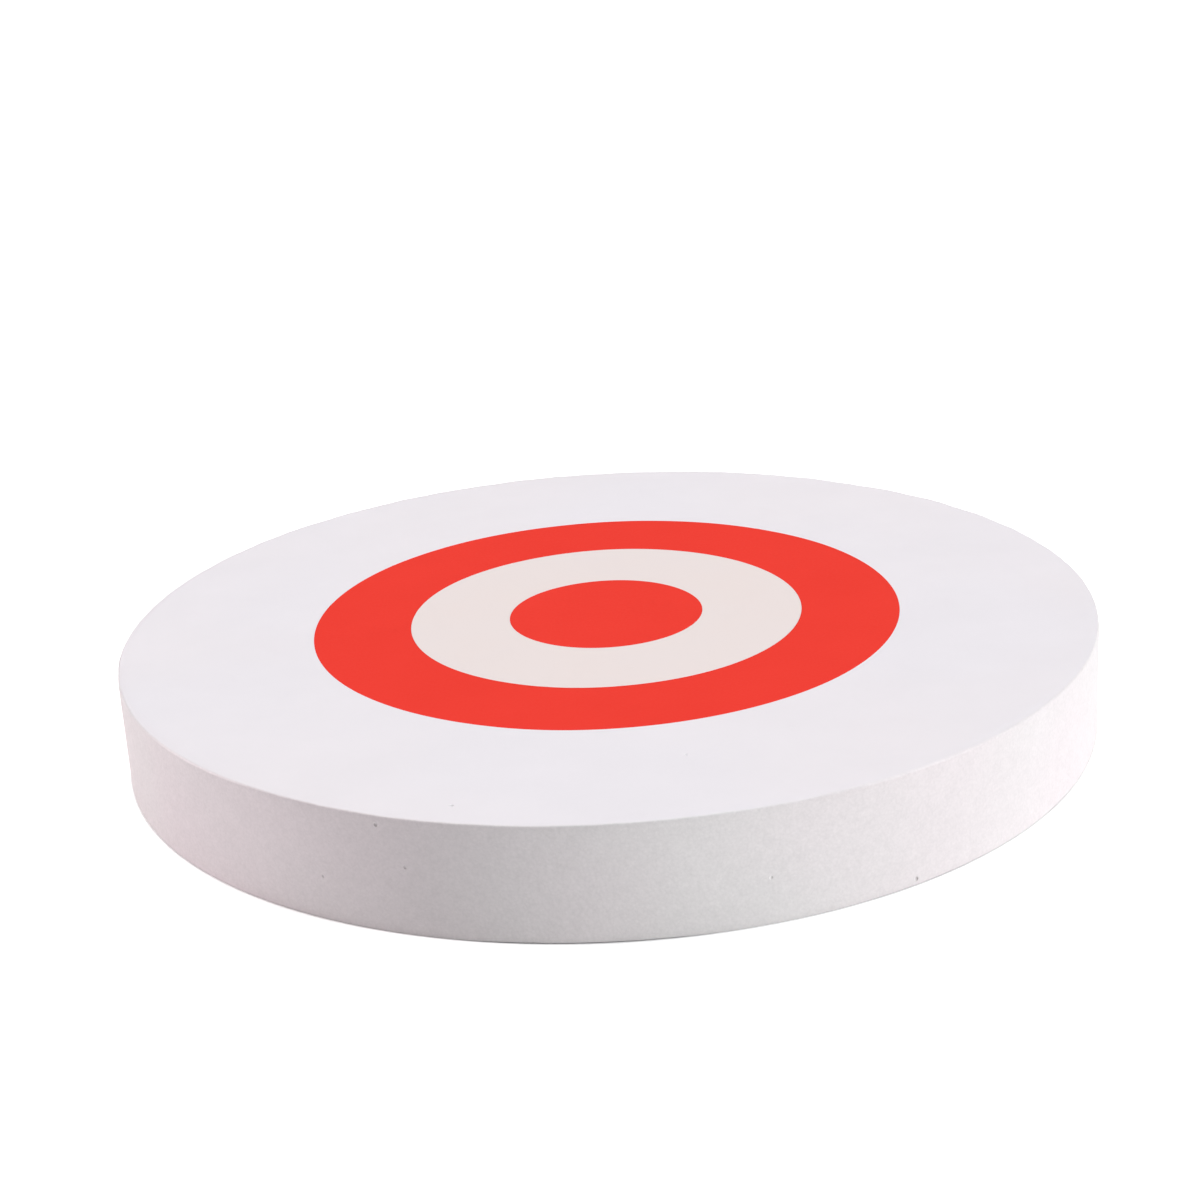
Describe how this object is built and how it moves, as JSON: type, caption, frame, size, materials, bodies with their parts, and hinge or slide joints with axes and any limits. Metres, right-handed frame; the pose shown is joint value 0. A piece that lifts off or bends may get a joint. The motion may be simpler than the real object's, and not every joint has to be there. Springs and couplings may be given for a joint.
{
  "type": "archery boss",
  "caption": "Round archery boss of thick white closed-cell foam, with a red and cream bullseye of thin film set flush in its face, to stop and hold arrows.",
  "frame": {"origin": "centre of the flat back, on the boss's axis", "axes": "+Z along the boss's axis, out of the face that is shot at; X and Y lie in the back and are equal, because the boss is round"},
  "size_m": [0.45, 0.45, 0.05],
  "materials": {
    "white_foam": "matte closed-cell foam, smooth on the face and finely granular on the cut side",
    "red_film": "matte flexible film, warm red",
    "cream_film": "matte flexible film, cream"
  },
  "bodies": {
    "root": {"foam_round": "white_foam", "outer_ring_red": "red_film", "middle_ring_cream": "cream_film", "centre_disc_red": "red_film"}
  },
  "joints": []
}
